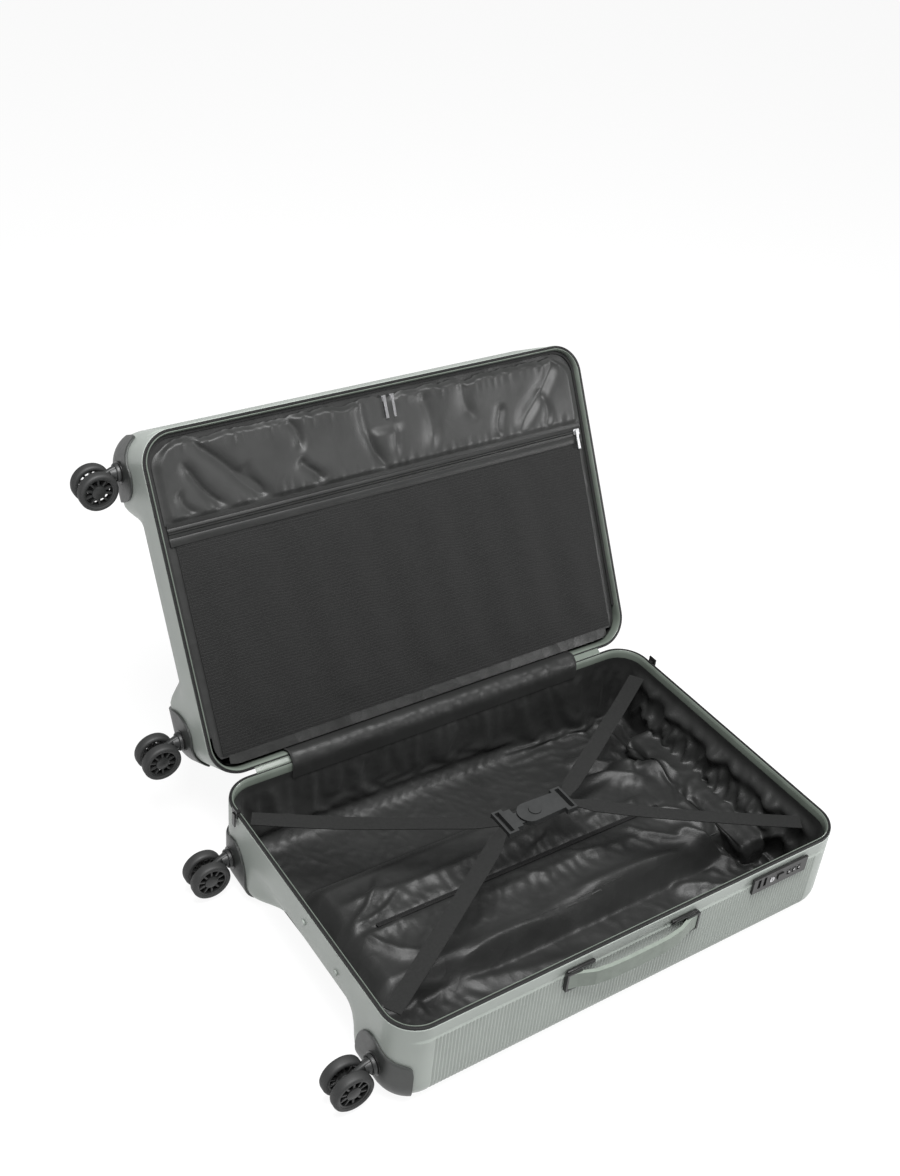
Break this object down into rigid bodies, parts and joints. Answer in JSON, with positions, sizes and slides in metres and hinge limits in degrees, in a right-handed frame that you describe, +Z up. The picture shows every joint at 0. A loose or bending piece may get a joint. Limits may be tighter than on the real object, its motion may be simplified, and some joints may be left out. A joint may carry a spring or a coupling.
{
  "type": "hard shell suitcase",
  "caption": "Hard shell suitcase on twin-wheel casters, lying open: ribbed half shells, zipped lid divider, cross straps with a buckle, side carry handle, combination lock and trolley.",
  "frame": {"origin": "centre of the flat back face of the base half, on the floor", "axes": "+Z up, +X along the case from the wheel end to the handle end, +Y from the lock side to the hinge side"},
  "size_m": [0.7813, 0.8221, 0.5506],
  "materials": {
    "shell": "semi-matte sage grey, fine ribs",
    "band": "satin sage grey",
    "grip": "soft matte",
    "zip": "woven tape with coil teeth",
    "lining": "satin-sheen nylon",
    "mesh": "fine knitted mesh",
    "webbing": "woven webbing",
    "plastic": "fine grain",
    "wheel": "matte",
    "lock": "satin black",
    "dial": "gloss black, white digits",
    "silver": "polished",
    "tube": "anodised"
  },
  "bodies": {
    "base": {"base_shell": "shell", "base_rim_band": "band", "base_zip_tape": "zip", "base_lining": "lining", "hinge_gusset_base": "lining", "lining_access_zip": "zip", "trolley_housing": "plastic", "side_handle_bracket_wheel_end": "lock", "side_handle_bracket_top_end": "lock", "top_handle": "grip", "lock_plate": "lock", "strap_wheel_end_lock_side": "webbing", "strap_wheel_end_hinge_side": "webbing", "strap_top_end_lock_side": "webbing", "strap_top_end_hinge_side": "webbing", "buckle_socket": "plastic", "end_stud_middle": "silver", "end_stud_lock_side": "silver", "base_caster_lock_housing": "plastic", "base_caster_hinge_housing": "plastic"},
    "lid": {"lid_shell": "shell", "lid_rim_band": "band", "lid_zip_tape": "zip", "lid_lining": "lining", "hinge_gusset_lid": "lining", "lid_caster_lock_housing": "plastic", "lid_caster_hinge_housing": "plastic"},
    "divider": {"divider_panel": "lining", "divider_mesh_pocket": "mesh", "divider_pocket_zip": "zip"},
    "trolley_middle_stage": {"trolley_middle_tube_lock_side": "tube", "trolley_middle_tube_hinge_side": "tube"},
    "base_caster_lock_fork": {"base_caster_lock_fork": "plastic"},
    "base_caster_lock_wheel_near": {"base_caster_lock_wheel_near": "wheel"},
    "base_caster_lock_wheel_far": {"base_caster_lock_wheel_far": "wheel"},
    "base_caster_hinge_fork": {"base_caster_hinge_fork": "plastic"},
    "base_caster_hinge_wheel_near": {"base_caster_hinge_wheel_near": "wheel"},
    "base_caster_hinge_wheel_far": {"base_caster_hinge_wheel_far": "wheel"},
    "lid_caster_lock_fork": {"lid_caster_lock_fork": "plastic"},
    "lid_caster_lock_wheel_near": {"lid_caster_lock_wheel_near": "wheel"},
    "lid_caster_lock_wheel_far": {"lid_caster_lock_wheel_far": "wheel"},
    "lid_caster_hinge_fork": {"lid_caster_hinge_fork": "plastic"},
    "lid_caster_hinge_wheel_near": {"lid_caster_hinge_wheel_near": "wheel"},
    "lid_caster_hinge_wheel_far": {"lid_caster_hinge_wheel_far": "wheel"},
    "trolley_grip": {"trolley_grip": "plastic"},
    "trolley_button": {"trolley_button": "lock"},
    "side_handle": {"side_handle": "grip"},
    "lock_dial_1": {"lock_dial_1": "dial"},
    "lock_dial_2": {"lock_dial_2": "dial"},
    "lock_dial_3": {"lock_dial_3": "dial"},
    "lock_key_barrel": {"lock_key_barrel": "silver"},
    "lock_release_button": {"lock_release_button": "lock"},
    "zip_slider_wheel_end": {"zip_slider_wheel_end": "silver"},
    "zip_slider_top_end": {"zip_slider_top_end": "silver"},
    "lining_pocket_slider": {"lining_pocket_slider": "silver"},
    "buckle_plug": {"buckle_plug": "plastic"},
    "buckle_button": {"buckle_button": "plastic"},
    "divider_pocket_slider": {"divider_pocket_slider": "silver"},
    "divider_slider_wheel_end": {"divider_slider_wheel_end": "silver"},
    "divider_slider_top_end": {"divider_slider_top_end": "silver"}
  },
  "joints": [
    {"name": "lid_hinge", "type": "hinge", "parent": "base", "child": "lid", "pos_m": [0, 0.235, 0.14], "axis": [-1, 0, 0], "range_deg": [-118.4, 61.6]},
    {"name": "divider_hinge", "type": "hinge", "parent": "lid", "child": "divider", "pos_m": [0, 0.2523, 0.14656], "axis": [1, 0, 0], "range_deg": [0, 85]},
    {"name": "base_caster_lock_swivel", "type": "hinge", "parent": "base", "child": "base_caster_lock_fork", "pos_m": [-0.35, -0.187, 0.05], "axis": [1, 0, 0], "continuous": true},
    {"name": "base_caster_lock_near_wheel_spin", "type": "hinge", "parent": "base_caster_lock_fork", "child": "base_caster_lock_wheel_near", "pos_m": [-0.388, -0.187, 0.036], "axis": [0, 1, 0], "continuous": true},
    {"name": "base_caster_lock_far_wheel_spin", "type": "hinge", "parent": "base_caster_lock_fork", "child": "base_caster_lock_wheel_far", "pos_m": [-0.388, -0.187, 0.036], "axis": [0, 1, 0], "continuous": true},
    {"name": "base_caster_hinge_swivel", "type": "hinge", "parent": "base", "child": "base_caster_hinge_fork", "pos_m": [-0.35, 0.187, 0.05], "axis": [1, 0, 0], "continuous": true},
    {"name": "base_caster_hinge_near_wheel_spin", "type": "hinge", "parent": "base_caster_hinge_fork", "child": "base_caster_hinge_wheel_near", "pos_m": [-0.388, 0.187, 0.036], "axis": [0, 1, 0], "continuous": true},
    {"name": "base_caster_hinge_far_wheel_spin", "type": "hinge", "parent": "base_caster_hinge_fork", "child": "base_caster_hinge_wheel_far", "pos_m": [-0.388, 0.187, 0.036], "axis": [0, 1, 0], "continuous": true},
    {"name": "lid_caster_lock_swivel", "type": "hinge", "parent": "lid", "child": "lid_caster_lock_fork", "pos_m": [-0.35, 0.51488, 0.46841], "axis": [1, 0, 0], "continuous": true},
    {"name": "lid_caster_lock_near_wheel_spin", "type": "hinge", "parent": "lid_caster_lock_fork", "child": "lid_caster_lock_wheel_near", "pos_m": [-0.388, 0.51488, 0.45441], "axis": [0, 1, 0], "continuous": true},
    {"name": "lid_caster_lock_far_wheel_spin", "type": "hinge", "parent": "lid_caster_lock_fork", "child": "lid_caster_lock_wheel_far", "pos_m": [-0.388, 0.51488, 0.45441], "axis": [0, 1, 0], "continuous": true},
    {"name": "lid_caster_hinge_swivel", "type": "hinge", "parent": "lid", "child": "lid_caster_hinge_fork", "pos_m": [-0.35, 0.337, 0.13942], "axis": [1, 0, 0], "continuous": true},
    {"name": "lid_caster_hinge_near_wheel_spin", "type": "hinge", "parent": "lid_caster_hinge_fork", "child": "lid_caster_hinge_wheel_near", "pos_m": [-0.388, 0.337, 0.12542], "axis": [0, 1, 0], "continuous": true},
    {"name": "lid_caster_hinge_far_wheel_spin", "type": "hinge", "parent": "lid_caster_hinge_fork", "child": "lid_caster_hinge_wheel_far", "pos_m": [-0.388, 0.337, 0.12542], "axis": [0, 1, 0], "continuous": true},
    {"name": "trolley_lower_stage", "type": "slide", "parent": "base", "child": "trolley_middle_stage", "axis": [1, 0, 0], "range_m": [0, 0.175]},
    {"name": "trolley_upper_stage", "type": "slide", "parent": "trolley_middle_stage", "child": "trolley_grip", "axis": [1, 0, 0], "range_m": [0, 0.175]},
    {"name": "trolley_button_press", "type": "slide", "parent": "trolley_grip", "child": "trolley_button", "axis": [-1, 0, 0], "range_m": [0, 0.0018], "stiffness_N_per_m": 400},
    {"name": "side_handle_lift", "type": "slide", "parent": "base", "child": "side_handle", "axis": [0, -1, 0], "range_m": [0, 0.0045], "stiffness_N_per_m": 400},
    {"name": "lock_dial_1_turn", "type": "hinge", "parent": "base", "child": "lock_dial_1", "pos_m": [0.248, -0.2335, 0.113], "axis": [1, 0, 0], "continuous": true},
    {"name": "lock_dial_2_turn", "type": "hinge", "parent": "base", "child": "lock_dial_2", "pos_m": [0.257, -0.2335, 0.113], "axis": [1, 0, 0], "continuous": true},
    {"name": "lock_dial_3_turn", "type": "hinge", "parent": "base", "child": "lock_dial_3", "pos_m": [0.266, -0.2335, 0.113], "axis": [1, 0, 0], "continuous": true},
    {"name": "lock_key_turn", "type": "hinge", "parent": "base", "child": "lock_key_barrel", "pos_m": [0.218, -0.237, 0.113], "axis": [0, 1, 0], "range_deg": [0, 90]},
    {"name": "lock_release_press", "type": "slide", "parent": "base", "child": "lock_release_button", "axis": [0, 1, 0], "range_m": [0, 0.0012], "stiffness_N_per_m": 300},
    {"name": "zip_slider_wheel_end_travel", "type": "slide", "parent": "base", "child": "zip_slider_wheel_end", "axis": [0, -1, 0], "range_m": [0, 0.35]},
    {"name": "zip_slider_top_end_travel", "type": "slide", "parent": "base", "child": "zip_slider_top_end", "axis": [0, -1, 0], "range_m": [0, 0.35]},
    {"name": "lining_pocket_slider_travel", "type": "slide", "parent": "base", "child": "lining_pocket_slider", "axis": [0, -1, 0], "range_m": [0, 0.15]},
    {"name": "buckle_plug_pull", "type": "slide", "parent": "base", "child": "buckle_plug", "axis": [-1, 0, 0], "range_m": [0, 0.02], "deforming": ["strap_wheel_end_lock_side", "strap_wheel_end_hinge_side"]},
    {"name": "buckle_button_press", "type": "slide", "parent": "base", "child": "buckle_button", "axis": [0, 0, -1], "range_m": [0, 0.0015], "stiffness_N_per_m": 300},
    {"name": "divider_pocket_slider_travel", "type": "slide", "parent": "divider", "child": "divider_pocket_slider", "axis": [-1, 0, 0], "range_m": [0, 0.62]},
    {"name": "divider_slider_wheel_end_travel", "type": "slide", "parent": "divider", "child": "divider_slider_wheel_end", "axis": [-1, 0, 0], "range_m": [0, 0.3]},
    {"name": "divider_slider_top_end_travel", "type": "slide", "parent": "divider", "child": "divider_slider_top_end", "axis": [1, 0, 0], "range_m": [0, 0.28]}
  ]
}
